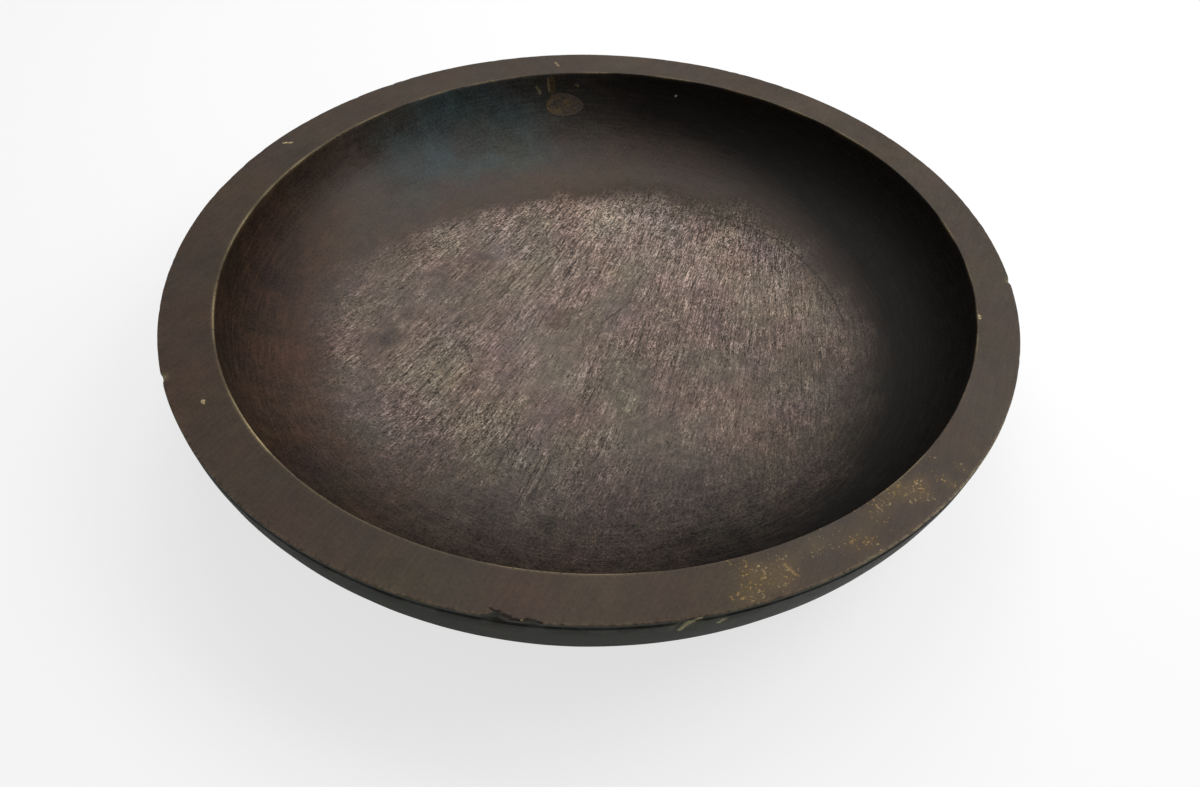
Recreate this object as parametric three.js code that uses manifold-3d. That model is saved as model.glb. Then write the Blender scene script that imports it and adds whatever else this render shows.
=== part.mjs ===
// A carved wooden serving bowl: one hollowed block of wood with a broad flat rim, and the separate
// plug that fills the knot hole in its inner wall.
// Millimetres, +Z up. The origin is the middle of the flat foot, and X is the longer way across.

import * as THREE from 'three';
import { mergeVertices } from 'three/addons/utils/BufferGeometryUtils.js';
import Module from 'manifold-3d';

const wasm = await Module();
wasm.setup();

// Outside of the block
const LENGTH = 458; // the longer way across, over the rim
const BREADTH = 440; // the other way: wood shrinks more across its grain
const FLOOR_THICKNESS = 15;
const FOOT_INSET = 60; // from the rim's outer edge in to the edge of the flat foot
const BELLY_TURN = 75; // degrees that the outer wall has turned through where it meets the foot

// Hollow
const HOLLOW_DEPTH = 60; // from the rim's top down to the middle of the floor
const HOLLOW_SHIFT = -3.3; // along Y: the hollow was cut a little off centre
const FLOOR_FLATNESS = 3.5; // exponent: higher is a flatter floor
const WALL_STEEPNESS = 2.6; // exponent: higher is a more upright wall

// Rim
const RIM_WIDTH = 25;
const INNER_ARRIS = 1.2; // worn bevel along the mouth of the hollow
const OUTER_ARRIS = 0.6; // worn bevel along the outer edge
const LIP_HEIGHT = 1.2; // upright edge between the outer bevel and the incised line
const LINE_WIDTH = 2.2; // the incised line that runs round just under the rim
const LINE_DEPTH = 1;

// Knot plug, in the inner wall
const KNOT_TURN = 62; // degrees round from +X
const KNOT_DROP = 22; // from the rim's top down to the plug's middle
const KNOT_WIDTH = 27; // along the wall
const KNOT_TALL = 16; // up and down the wall
const KNOT_SINK = 9; // how far the plug reaches into the wood
const KNOT_TAPER = 0.8; // its inner end's size as a share of its face
const KNOT_GAP = 0.3; // clearance all round the plug in its hole

// Old chips out of the rim's outer edge: degrees round from +X, then length along the edge,
// reach in from the edge, height, and how far the chip's middle lies below the rim's top.
const CHIPS = [
  { turn: -137, long: 13, reach: 2.6, tall: 4.4, drop: 1.2 },
  { turn: -133.4, long: 7, reach: 1.9, tall: 3.6, drop: 1 },
  { turn: -118.4, long: 12, reach: 2.2, tall: 6.4, drop: 5.4 },
  { turn: 170, long: 7, reach: 2.2, tall: 5, drop: 1.2 },
  { turn: -43, long: 6, reach: 2, tall: 4, drop: 1.2 },
];

// Facets
const SEGMENTS = 96;
const HOLLOW_RINGS = 14;
const BELLY_RINGS = 8;
const KNOT_SEGMENTS = 24;
const CHIP_SEGMENTS = 10;

const HEIGHT = FLOOR_THICKNESS + HOLLOW_DEPTH;
const MOUTH_Z = HEIGHT - INNER_ARRIS;
const WALL_TOP_Z = HEIGHT - OUTER_ARRIS - LIP_HEIGHT - LINE_WIDTH;

// An oval ring set in from the rim's outer edge.
function outerRing(inset, z) {
  return { semiX: LENGTH / 2 - inset, semiY: BREADTH / 2 - inset, y: 0, z };
}

// An oval ring of the hollow, as a share of its mouth.
function hollowRing(share, z) {
  const mouth = outerRing(RIM_WIDTH, z);
  return { semiX: mouth.semiX * share, semiY: mouth.semiY * share, y: HOLLOW_SHIFT, z };
}

// The hollow's size at a depth below its mouth, as a share of the mouth: a superellipse.
function hollowShare(depth) {
  return (1 - (depth / (MOUTH_Z - FLOOR_THICKNESS)) ** WALL_STEEPNESS) ** (1 / FLOOR_FLATNESS);
}

// From the middle of the floor out and up to the mouth.
function hollowRings() {
  const rings = [];
  for (let i = 0; i <= HOLLOW_RINGS; i++) {
    const turn = (Math.PI / 2) * (i / HOLLOW_RINGS);
    const depth = (MOUTH_Z - FLOOR_THICKNESS) * Math.cos(turn) ** (2 / WALL_STEEPNESS);
    rings.push(hollowRing(hollowShare(depth), MOUTH_Z - depth));
  }
  return rings;
}

// From the mouth's bevel over the flat top and down into the incised line.
function rimRings() {
  const inner = hollowRing(1, HEIGHT);
  inner.semiX += INNER_ARRIS;
  inner.semiY += INNER_ARRIS;
  const lipTop = HEIGHT - OUTER_ARRIS;
  const lipFoot = lipTop - LIP_HEIGHT;
  return [
    inner,
    outerRing(OUTER_ARRIS, HEIGHT),
    outerRing(0, lipTop),
    outerRing(0, lipFoot),
    outerRing(LINE_DEPTH, lipFoot - LINE_WIDTH / 2),
  ];
}

// The outer wall: an elliptic arc from the incised line in to the foot.
function bellyRings() {
  const turn = THREE.MathUtils.degToRad(BELLY_TURN);
  const across = FOOT_INSET / (1 - Math.cos(turn));
  const down = WALL_TOP_Z / Math.sin(turn);
  const rings = [];
  for (let i = 0; i <= BELLY_RINGS; i++) {
    const angle = turn * (i / BELLY_RINGS);
    rings.push(outerRing(across * (1 - Math.cos(angle)), WALL_TOP_Z - down * Math.sin(angle)));
  }
  rings.push({ semiX: 0, semiY: 0, y: 0, z: 0 });
  return rings;
}

// One closed skin through a list of rings that starts and ends in a point.
function skin(rings) {
  const points = [];
  const faces = [];
  const last = rings.length - 1;
  const start = (i) => (i === 0 ? 0 : 1 + (i - 1) * SEGMENTS);
  rings.forEach((ring, i) => {
    const count = i === 0 || i === last ? 1 : SEGMENTS;
    for (let j = 0; j < count; j++) {
      const angle = (2 * Math.PI * j) / SEGMENTS;
      points.push(ring.semiX * Math.cos(angle), ring.y + ring.semiY * Math.sin(angle), ring.z);
    }
  });
  for (let i = 0; i < last; i++) {
    for (let j = 0; j < SEGMENTS; j++) {
      const next = (j + 1) % SEGMENTS;
      const inner = start(i) + (i === 0 ? 0 : j);
      const innerNext = start(i) + (i === 0 ? 0 : next);
      const outer = start(i + 1) + (i + 1 === last ? 0 : j);
      const outerNext = start(i + 1) + (i + 1 === last ? 0 : next);
      if (i + 1 < last) faces.push(inner, outer, outerNext);
      if (i > 0) faces.push(inner, outerNext, innerNext);
    }
  }
  const geometry = new THREE.BufferGeometry();
  geometry.setAttribute('position', new THREE.Float32BufferAttribute(points, 3));
  geometry.setIndex(faces);
  return geometry;
}

function toSolid(geometry) {
  const bare = geometry.clone();
  bare.deleteAttribute('normal');
  bare.deleteAttribute('uv');
  const merged = mergeVertices(bare, 1e-4);
  return new wasm.Manifold(
    new wasm.Mesh({
      numProp: 3,
      vertProperties: new Float32Array(merged.attributes.position.array),
      triVerts: new Uint32Array(merged.index.array),
    }),
  );
}

function toGeometry(solid) {
  const mesh = solid.getMesh();
  const geometry = new THREE.BufferGeometry();
  geometry.setAttribute('position', new THREE.BufferAttribute(mesh.vertProperties, 3));
  geometry.setIndex(new THREE.BufferAttribute(mesh.triVerts, 1));
  geometry.computeVertexNormals();
  return geometry;
}

// A point on the hollow's wall, at a depth below the rim's top.
function wallPoint(turn, drop) {
  const ring = hollowRing(hollowShare(drop - INNER_ARRIS), HEIGHT - drop);
  const angle = THREE.MathUtils.degToRad(turn);
  return new THREE.Vector3(ring.semiX * Math.cos(angle), ring.y + ring.semiY * Math.sin(angle), ring.z);
}

// The tapered oval of the knot, square to the wall, grown by a clearance on every side.
function knotCone(clearance) {
  const middle = wallPoint(KNOT_TURN, KNOT_DROP);
  const along = wallPoint(KNOT_TURN + 1, KNOT_DROP).sub(wallPoint(KNOT_TURN - 1, KNOT_DROP)).normalize();
  const up = wallPoint(KNOT_TURN, KNOT_DROP - 1).sub(wallPoint(KNOT_TURN, KNOT_DROP + 1)).normalize();
  const outOfWall = new THREE.Vector3().crossVectors(up, along).normalize();
  const proud = KNOT_TALL / 2; // it starts in front of the curved wall, which trims it flush
  const sink = KNOT_SINK + clearance;
  const narrowing = (0.5 * (1 - KNOT_TAPER)) / KNOT_SINK;
  const cone = new THREE.CylinderGeometry(
    0.5 + narrowing * proud,
    0.5 - narrowing * sink,
    proud + sink,
    KNOT_SEGMENTS,
  );
  cone.translate(0, (proud - sink) / 2, 0);
  const place = new THREE.Matrix4().makeBasis(
    along.multiplyScalar(KNOT_WIDTH + 2 * clearance),
    outOfWall,
    up.multiplyScalar(KNOT_TALL + 2 * clearance),
  );
  place.setPosition(middle);
  return cone.applyMatrix4(place);
}

// The lens-shaped bite of one chip, centred on the rim's outer edge.
function chipBite(chip) {
  const bite = new THREE.SphereGeometry(1, CHIP_SEGMENTS, CHIP_SEGMENTS / 2);
  bite.scale(chip.reach, chip.long / 2, chip.tall / 2);
  const angle = THREE.MathUtils.degToRad(chip.turn);
  bite.rotateZ(angle);
  bite.translate((LENGTH / 2) * Math.cos(angle), (BREADTH / 2) * Math.sin(angle), HEIGHT - chip.drop);
  return bite;
}

const darkWood = new THREE.MeshStandardMaterial({ color: 0x40352d, roughness: 0.55, metalness: 0 });
const knotWood = new THREE.MeshStandardMaterial({ color: 0x5c4a2c, roughness: 0.75, metalness: 0 });

const carved = toSolid(skin([...hollowRings(), ...rimRings(), ...bellyRings()]));
let bowl = carved.subtract(toSolid(knotCone(KNOT_GAP)));
for (const chip of CHIPS) bowl = bowl.subtract(toSolid(chipBite(chip)));
const plug = carved.intersect(toSolid(knotCone(0)));

const part = new THREE.Group();
const bowlBody = new THREE.Mesh(toGeometry(bowl), darkWood);
bowlBody.name = 'bowl_body';
const knotPlug = new THREE.Mesh(toGeometry(plug), knotWood);
knotPlug.name = 'knot_plug';
part.add(bowlBody, knotPlug);

export default part;
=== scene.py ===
"""Dresses a carved wooden serving bowl: the hollowed block with its broad flat rim, and its knot plug."""

import itertools
import math

import bmesh
import bpy
import numpy as np
from bpy.props import FloatProperty, FloatVectorProperty, IntProperty, PointerProperty
from mathutils import Matrix, Vector


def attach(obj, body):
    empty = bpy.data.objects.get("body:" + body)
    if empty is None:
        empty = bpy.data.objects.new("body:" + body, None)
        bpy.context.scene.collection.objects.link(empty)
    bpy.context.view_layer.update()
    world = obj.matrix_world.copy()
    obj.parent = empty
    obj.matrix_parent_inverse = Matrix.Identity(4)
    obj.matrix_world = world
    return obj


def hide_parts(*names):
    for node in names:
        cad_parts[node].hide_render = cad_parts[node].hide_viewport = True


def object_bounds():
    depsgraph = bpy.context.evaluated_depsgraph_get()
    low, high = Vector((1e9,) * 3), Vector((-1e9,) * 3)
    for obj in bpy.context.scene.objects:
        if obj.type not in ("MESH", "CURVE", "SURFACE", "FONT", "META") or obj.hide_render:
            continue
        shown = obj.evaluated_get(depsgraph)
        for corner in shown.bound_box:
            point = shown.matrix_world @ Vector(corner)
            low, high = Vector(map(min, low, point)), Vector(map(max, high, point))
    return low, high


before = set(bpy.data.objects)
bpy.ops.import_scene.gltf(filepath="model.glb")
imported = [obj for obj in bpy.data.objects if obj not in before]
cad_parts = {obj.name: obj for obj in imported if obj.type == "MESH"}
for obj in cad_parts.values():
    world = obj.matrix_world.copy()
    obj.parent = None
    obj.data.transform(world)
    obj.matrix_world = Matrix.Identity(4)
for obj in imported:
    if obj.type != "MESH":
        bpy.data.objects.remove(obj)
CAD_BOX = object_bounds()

bl_info = {
    "name": "Carved serving bowl",
    "version": (1, 0, 0),
    "blender": (4, 5, 0),
    "location": "View3D > Sidebar > Bowl",
    "description": "Carves, wears and lights a wooden serving bowl with a broad flat rim",
    "category": "Object",
}

MM = 0.001
IN_MM = 1000


# Properties

def length(name, description, millimetres):
    return FloatProperty(
        name=name, description=description, default=millimetres * MM, unit="LENGTH", precision=4
    )


def angle(name, description, degrees):
    return FloatProperty(name=name, description=description, default=math.radians(degrees), subtype="ANGLE")


def number(name, description, default):
    return FloatProperty(name=name, description=description, default=default)


def colour(name, description, red, green, blue):
    """A colour given as display values from 0 to 255, kept as linear light."""
    shares = [value / 255 for value in (red, green, blue)]
    linear = [s / 12.92 if s <= 0.04045 else ((s + 0.055) / 1.055) ** 2.4 for s in shares]
    return FloatVectorProperty(
        name=name, description=description, default=linear, subtype="COLOR", size=3, min=0, max=1
    )


class BowlSizes(bpy.types.PropertyGroup):
    """Sizes that the overall box doesn't give."""

    floor_thickness: length("Floor Thickness", "Wood under the middle of the hollow", 15)
    foot_inset: length("Foot Inset", "From the rim's outer edge in to the edge of the foot", 60)
    belly_turn: angle("Belly Turn", "How far the outer wall has turned where it meets the foot", 75)
    hollow_shift: length("Hollow Shift", "How far the hollow lies off centre", -3.3)
    floor_flatness: number("Floor Flatness", "Exponent: higher is a flatter floor", 3.5)
    wall_steepness: number("Wall Steepness", "Exponent: higher is a more upright wall", 2.6)
    rim_width: length("Rim Width", "Across the flat top of the rim", 25)
    inner_arris: length("Inner Arris", "Worn rounding along the mouth", 1.2)
    outer_arris: length("Outer Arris", "Worn rounding along the outer edge", 0.6)
    lip_height: length("Lip Height", "Upright edge above the incised line", 1.2)
    line_width: length("Line Width", "The incised line under the rim", 2.2)
    line_depth: length("Line Depth", "Depth of the incised line", 1)
    unevenness: length("Unevenness", "How far the hand-cut surface wanders", 0.7)
    wobble: length("Wobble", "How far the rim's outline falls inside its oval", 0.5)
    floor_cells: IntProperty(name="Floor Cells", description="Faces across the floor", default=188)


class KnotSizes(bpy.types.PropertyGroup):
    """The plug in the inner wall."""

    turn: angle("Turn", "Round from the longer way across", 62)
    drop: length("Drop", "From the rim's top down to its middle", 22)
    width: length("Width", "Along the wall", 27)
    tall: length("Height", "Up and down the wall", 16)
    sink: length("Sink", "How far it reaches into the wood", 9)
    taper: number("Taper", "Its inner end as a share of its face", 0.8)
    gap: length("Gap", "Clearance round it in its hole", 0.3)


class BowlFinish(bpy.types.PropertyGroup):
    """Colours of the wood and its wear, and of painted shade, highlights and reflection."""

    wall: colour("Wall", "Dark oiled wood of the inner wall", 62, 50, 41)
    rim: colour("Rim", "Handled top of the rim", 68, 58, 49)
    belly: colour("Belly", "Outer wall", 58, 60, 54)
    floor: colour("Floor", "Scraped floor between the pale marks", 115, 101, 91)
    # Also painted highlights where the scraped floor's raised fibres catch the light, partly paler worn
    # wood.
    pale: colour("Pale Marks", "Raised fibres that catch the light", 178, 160, 149)
    # Also painted shade in the pits between the floor's raised fibres.
    dark_and_painted_shade: colour("Dark Marks", "Grime in the cuts", 46, 39, 35)
    # A painted blue-grey reflection on the back of the wall.
    painted_cool_reflection: colour("Cool Bloom", "Blue-grey bloom on the back of the wall", 52, 68, 70)
    ruddy: colour("Ruddy Wood", "Red-brown wood low on the wall", 64, 44, 32)
    # Near-black for painted shade on the walls, in the incised line and in the chips, and for the knot's
    # cracks.
    near_black_and_painted_shade: colour("Soot", "Near-black wood", 13, 10, 7)
    worn_edge: colour("Worn Edge", "Pale wood along the mouth of the hollow", 182, 164, 122)
    tan: colour("Tan Wood", "Rubbed wood along the outer edge", 158, 138, 108)
    ochre: colour("Ochre", "Specks of decayed wood on the rim", 148, 121, 76)
    bare: colour("Bare Wood", "Fresh wood in the chips", 146, 138, 100)
    knot: colour("Knot", "The plug's wood", 82, 66, 37)


class StageSetup(bpy.types.PropertyGroup):
    """Where the photograph was taken from, and the studio round the bowl."""

    azimuth: angle("Azimuth", "Camera's way round the bowl", -40.8)
    elevation: angle("Elevation", "Camera's angle above the table", 48.6)
    roll: angle("Roll", "Camera's tilt", 4.25)
    lens: number("Lens", "Focal length in millimetres on a 36 mm sensor", 24.3)
    distance: length("Distance", "From the camera to the point it aims at", 375.5)
    aim: FloatVectorProperty(
        name="Aim", description="Point on the rim's plane that the camera aims at",
        default=(-0.0675, -0.0850), size=2, unit="LENGTH",
    )
    table: colour("Table", "Plain pale table", 246, 246, 246)
    world: number("Sky", "Light from all round", 0.34)


# Node trees written as arithmetic

class Flow:
    """One output in a node tree. Arithmetic on it adds Math nodes to the tree."""

    def __init__(self, tree, socket):
        self.tree = tree
        self.socket = socket

    def maths(self, operation, *others):
        return out(self.tree, "ShaderNodeMath", operation=operation, entries=(self, *others))

    def vector_maths(self, operation, *others, port=0):
        entries = (self, *others)
        return out(self.tree, "ShaderNodeVectorMath", port=port, operation=operation, entries=entries)

    def scaled(self, factor):
        return out(self.tree, "ShaderNodeVectorMath", operation="SCALE", Vector=self, Scale=factor)

    def parts(self):
        """The x, y and z of a vector."""
        split = add(self.tree, "ShaderNodeSeparateXYZ", Vector=self)
        return [Flow(self.tree, socket) for socket in split.outputs]

    def __add__(self, other):
        return self.maths("ADD", other)

    def __sub__(self, other):
        return self.maths("SUBTRACT", other)

    def __mul__(self, other):
        return self.maths("MULTIPLY", other)

    def __truediv__(self, other):
        return self.maths("DIVIDE", other)

    def flipped(self):
        """One minus this."""
        return out(self.tree, "ShaderNodeMath", operation="SUBTRACT", entries=(1, self))

    def between(self, low, high):
        """0 below low, 1 above high, and smooth in between."""
        return out(
            self.tree, "ShaderNodeMapRange", interpolation_type="SMOOTHSTEP",
            Value=self, From_Min=low, From_Max=high,
        )


def feed(entry, value):
    """Links a Flow or a socket into an input, or sets the input to a plain value."""
    if isinstance(value, Flow):
        value = value.socket
    if isinstance(value, bpy.types.NodeSocket):
        entry.id_data.links.new(value, entry)
    elif entry.type == "RGBA":
        entry.default_value = (*value[:3], 1)
    else:
        entry.default_value = value


def add(tree, kind, entries=(), **settings):
    """A new node. Each setting goes to the node itself if it has one of that name, and else to that input.
    Entries feed the first inputs in order."""
    node = tree.nodes.new(kind)
    inputs = {}
    for key, value in settings.items():
        if hasattr(node, key):
            setattr(node, key, value)
        else:
            inputs[key] = value
    for entry, value in zip(node.inputs, entries):
        feed(entry, value)
    for key, value in inputs.items():
        found = [e for e in node.inputs if e.enabled and e.name.replace(" ", "_") == key]
        feed(found[0], value)
    return node


def out(tree, kind, port=0, **settings):
    """Adds a node and gives one of its live outputs, by name or by place, as a Flow."""
    node = add(tree, kind, **settings)
    live = [socket for socket in node.outputs if socket.enabled]
    if isinstance(port, str):
        live = [socket for socket in live if socket.name == port]
        port = 0
    return Flow(tree, live[port])


def joined(x, y, z):
    """A vector from its parts, of which the first is a Flow."""
    return out(x.tree, "ShaderNodeCombineXYZ", X=x, Y=y, Z=z)


def clouds(place, scale, detail, port=0, **settings):
    """Noise at a place."""
    kind = "ShaderNodeTexNoise"
    return out(place.tree, kind, port=port, Vector=place, Scale=scale, Detail=detail, **settings)


def new_group(name, kind, inputs, outputs):
    """An empty node group. Gives the tree, its inputs as Flows by name, and its output node."""
    tree = bpy.data.node_groups.new(name, kind)
    for way, sockets in (("INPUT", inputs), ("OUTPUT", outputs)):
        for label, socket in sockets.items():
            tree.interface.new_socket(name=label, in_out=way, socket_type="NodeSocket" + socket)
    given = tree.nodes.new("NodeGroupInput")
    asked = {socket.name: Flow(tree, socket) for socket in given.outputs if socket.name}
    return tree, asked, tree.nodes.new("NodeGroupOutput")


# The bowl's form

FLOOR_SHARE = 0.75  # the floor's square patch of faces ends at this share of the mouth
WALL_RINGS = 40
ARRIS_RINGS = 3
RIM_RINGS = 8
LINE_RINGS = 4
BELLY_RINGS = 14
ARRIS_SHOULDER = 0.3  # where the outer arris turns, as a share of it


def hollow_share(depth, sizes):
    """The hollow's size at a depth below its mouth, as a share of the mouth."""
    deep = CAD_BOX[1].z - sizes.inner_arris - sizes.floor_thickness
    return (1 - np.clip(depth / deep, 0, 1) ** sizes.wall_steepness) ** (1 / sizes.floor_flatness)


def hollow_depth(share, sizes):
    """The hollow's depth below its mouth, where it has narrowed to a share of the mouth."""
    deep = CAD_BOX[1].z - sizes.inner_arris - sizes.floor_thickness
    return deep * (1 - share**sizes.floor_flatness) ** (1 / sizes.wall_steepness)


def ring_table(sizes):
    """Rings from the middle of the floor, over the rim, to the foot's edge. Each is its inset from the
    outer edge, a share that scales it, its height, and its share of the hollow's shift.
    Also gives the last ring of the hollow, of the rim's top and of the incised line."""
    top = CAD_BOX[1].z
    mouth = top - sizes.inner_arris
    cells = sizes.floor_cells // 2
    rings = []
    for step in range(cells + 1):
        share = FLOOR_SHARE * step / cells
        rings.append((sizes.rim_width, share, mouth - hollow_depth(share, sizes), 1))

    half = CAD_BOX[1].x - sizes.rim_width
    depths = np.linspace(hollow_depth(FLOOR_SHARE, sizes), 0, 400)
    shares = hollow_share(depths, sizes)
    along = np.concatenate([[0], np.cumsum(np.hypot(np.diff(depths), np.diff(shares) * half))])
    for step in range(1, WALL_RINGS + 1):
        depth = np.interp(along[-1] * step / WALL_RINGS, along, depths)
        rings.append((sizes.rim_width, hollow_share(depth, sizes), mouth - depth, 1))
    hollow_end = len(rings) - 1

    for step in range(1, ARRIS_RINGS + 1):
        turn = math.pi / 2 * step / ARRIS_RINGS
        inset = sizes.rim_width - sizes.inner_arris * (1 - math.cos(turn))
        rings.append((inset, 1, mouth + sizes.inner_arris * math.sin(turn), 1))
    start = sizes.rim_width - sizes.inner_arris
    for step in range(1, RIM_RINGS + 1):
        part = (1 - math.cos(math.pi * step / RIM_RINGS)) / 2
        rings.append((start + (sizes.outer_arris - start) * part, 1, top, 1 - part))
    rim_end = len(rings) - 1

    lip_top = top - sizes.outer_arris
    lip_foot = lip_top - sizes.lip_height
    shoulder = sizes.outer_arris * ARRIS_SHOULDER
    rings += [(shoulder, 1, top - shoulder, 0), (0, 1, lip_top, 0), (0, 1, lip_foot, 0)]
    for step in range(1, LINE_RINGS + 1):
        part = step / LINE_RINGS
        inset = sizes.line_depth * math.sin(math.pi * part)
        rings.append((inset, 1, lip_foot - sizes.line_width * part, 0))
    line_end = len(rings) - 1

    wall_top = lip_foot - sizes.line_width
    across = sizes.foot_inset / (1 - math.cos(sizes.belly_turn))
    down = wall_top / math.sin(sizes.belly_turn)
    for step in range(1, BELLY_RINGS + 1):
        turn = sizes.belly_turn * step / BELLY_RINGS
        rings.append((across * (1 - math.cos(turn)), 1, wall_top - down * math.sin(turn), 0))
    return rings, hollow_end, rim_end, line_end


def wrapping_tree():
    """Geometry nodes that wrap an open-bottomed box of quads round a table of oval rings.
    The box's top becomes the floor of the hollow. Its sides run up the wall, over the rim and down."""
    outputs = {"Geometry": "Geometry"}
    inputs = {
        **outputs, "Rings": "Object", "Length": "Float", "Breadth": "Float", "Hollow Shift": "Float",
        "Floor Cells": "Int", "Side Rings": "Int", "Material": "Material",
    }
    tree, asked, result = new_group("Wrap Box Round Rings", "GeometryNodeTree", inputs, outputs)
    box = out(
        tree, "GeometryNodeMeshCube", Size=(2, 2, 2),
        Vertices_X=asked["Floor Cells"] + 1,
        Vertices_Y=asked["Floor Cells"] + 1,
        Vertices_Z=asked["Side Rings"] + 1,
    )
    place = out(tree, "GeometryNodeInputPosition")
    x, y, z = place.parts()

    disc_x = x * (y * y * -0.5 + 1).maths("SQRT")
    disc_y = y * (x * x * -0.5 + 1).maths("SQRT")
    reach = (disc_x * disc_x + disc_y * disc_y).maths("SQRT").maths("MINIMUM", 1.0)
    up = (z + 1) * 0.5
    floor_part = (up * reach.flipped()).flipped()
    station = asked["Floor Cells"] * 0.5 * floor_part + asked["Side Rings"] * up.flipped()
    below = station.maths("FLOOR")
    part = station - below

    table = out(tree, "GeometryNodeObjectInfo", port="Geometry", Object=asked["Rings"])

    def look_up(kind, value):
        """A value from the ring table, blended between the two rings next to the station."""
        ends = [
            out(
                tree, "GeometryNodeSampleIndex", data_type=kind, clamp=True,
                Geometry=table, Value=value, Index=below + offset,
            )
            for offset in (0, 1)
        ]
        blend = "VECTOR" if kind == "FLOAT_VECTOR" else "FLOAT"
        return out(tree, "ShaderNodeMix", data_type=blend, Factor=part, A=ends[0], B=ends[1])

    inset, share, height = look_up("FLOAT_VECTOR", place).parts()
    shift = look_up("FLOAT", out(tree, "GeometryNodeInputNamedAttribute", data_type="FLOAT", Name="shift"))
    wrapped = joined(
        (asked["Length"] * 0.5 - inset) * share * disc_x / reach,
        (asked["Breadth"] * 0.5 - inset) * share * disc_y / reach + asked["Hollow Shift"] * shift,
        height,
    )

    underside = out(tree, "FunctionNodeCompare", operation="LESS_THAN", A=z, B=-0.9999)
    opened = out(tree, "GeometryNodeDeleteGeometry", domain="FACE", Geometry=box, Selection=underside)
    marked = out(
        tree, "GeometryNodeStoreNamedAttribute", data_type="FLOAT", domain="POINT",
        Geometry=opened, Name="station", Value=station,
    )
    moved = out(tree, "GeometryNodeSetPosition", Geometry=marked, Position=wrapped)
    real = out(tree, "GeometryNodeRealizeInstances", Geometry=moved)
    painted = out(tree, "GeometryNodeSetMaterial", Geometry=real, Material=asked["Material"])
    feed(result.inputs[0], painted)
    return tree


def evaluated_mesh(item, name):
    """The item's mesh with its modifiers applied."""
    graph = bpy.context.evaluated_depsgraph_get()
    graph.update()
    mesh = bpy.data.meshes.new_from_object(item.evaluated_get(graph))
    mesh.name = name
    return mesh


def new_piece(name, mesh):
    piece = bpy.data.objects.new(name, mesh)
    bpy.context.scene.collection.objects.link(piece)
    return piece


def wrapped_block(sizes, rings, material):
    """The smooth bowl, with no hole for the knot, as an object."""
    table = bpy.data.meshes.new("ring_table")
    table.from_pydata([ring[:3] for ring in rings], [], [])
    shift = table.attributes.new("shift", "FLOAT", "POINT")
    shift.data.foreach_set("value", [ring[3] for ring in rings])
    helper = new_piece("ring_table", table)
    seed = new_piece("wrap", bpy.data.meshes.new("wrap"))
    modifier = seed.modifiers.new("Wrap", "NODES")
    modifier.node_group = wrapping_tree()
    values = {
        "Rings": helper,
        "Length": CAD_BOX[1].x - CAD_BOX[0].x,
        "Breadth": CAD_BOX[1].y - CAD_BOX[0].y,
        "Hollow Shift": sizes.hollow_shift,
        "Floor Cells": sizes.floor_cells,
        "Side Rings": len(rings) - 1 - sizes.floor_cells // 2,
        "Material": material,
    }
    for entry in modifier.node_group.interface.items_tree:
        if entry.in_out == "INPUT" and entry.name in values:
            modifier[entry.identifier] = values[entry.name]
    mesh = evaluated_mesh(seed, "block")
    for spare in (seed, helper):
        bpy.data.objects.remove(spare)
    close_foot(mesh)
    return new_piece("block", mesh)


def close_foot(mesh):
    """Fills the open underside with a flat face inside a narrow ring."""
    work = bmesh.new()
    work.from_mesh(mesh)
    edges = [edge for edge in work.edges if edge.is_boundary]
    foot = bmesh.ops.contextual_create(work, geom=edges)["faces"]
    bmesh.ops.inset_individual(work, faces=foot, thickness=3 * MM)
    bmesh.ops.recalc_face_normals(work, faces=work.faces)
    work.to_mesh(mesh)
    work.free()


# The knot

KNOT_SIDES = 40
KNOT_LOBES = ((3, 0.6, 0.05), (2, 0, 0.04))  # bulges round its outline, their turn, and how far they reach


def wall_point(sizes, turn, drop):
    """A point on the smooth inner wall, at a drop below the rim's top."""
    share = hollow_share(drop - sizes.inner_arris, sizes)
    return Vector((
        (CAD_BOX[1].x - sizes.rim_width) * share * math.cos(turn),
        (CAD_BOX[1].y - sizes.rim_width) * share * math.sin(turn) + sizes.hollow_shift,
        CAD_BOX[1].z - drop,
    ))


def knot_cone(name, sizes, knot, clearance):
    """The tapered oval of the knot, square to the wall, grown by a clearance."""
    step = math.radians(1)
    after, before = (wall_point(sizes, knot.turn + way * step, knot.drop) for way in (1, -1))
    above, under = (wall_point(sizes, knot.turn, knot.drop + way * MM) for way in (-1, 1))
    along = (after - before).normalized()
    up = (above - under).normalized()
    proud = knot.tall / 2
    sink = knot.sink + clearance
    narrowing = (1 - knot.taper) / 2 / knot.sink
    place = Matrix((
        up * (knot.tall + 2 * clearance),
        along * (knot.width + 2 * clearance),
        up.cross(along),
    )).transposed().to_4x4()
    place.translation = wall_point(sizes, knot.turn, knot.drop) + up.cross(along) * (proud - sink) / 2
    work = bmesh.new()
    bmesh.ops.create_cone(
        work, cap_ends=True, segments=KNOT_SIDES, depth=proud + sink,
        radius1=0.5 - narrowing * sink, radius2=0.5 + narrowing * proud,
    )
    for vert in work.verts:
        turn = math.atan2(vert.co.y, vert.co.x)
        vert.co.xy *= 1 + sum(reach * math.sin(lobes * turn + start) for lobes, start, reach in KNOT_LOBES)
    work.transform(place)
    mesh = bpy.data.meshes.new(name)
    work.to_mesh(mesh)
    work.free()
    return new_piece(name, mesh)


def cut(block, cutter, operation, name):
    """A mesh of the block cut with the cutter, or of what they share. Both are then removed."""
    cutter.data.materials.append(block.data.materials[-1])
    modifier = block.modifiers.new("Cut", "BOOLEAN")
    modifier.operation, modifier.solver, modifier.object = operation, "EXACT", cutter
    mesh = evaluated_mesh(block, name)
    for spare in (block, cutter):
        bpy.data.objects.remove(spare)
    if not mesh.polygons:
        raise RuntimeError(f"cutting {name} left nothing")
    return mesh


# Carving by hand

NOISE_GRID = 32


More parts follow.
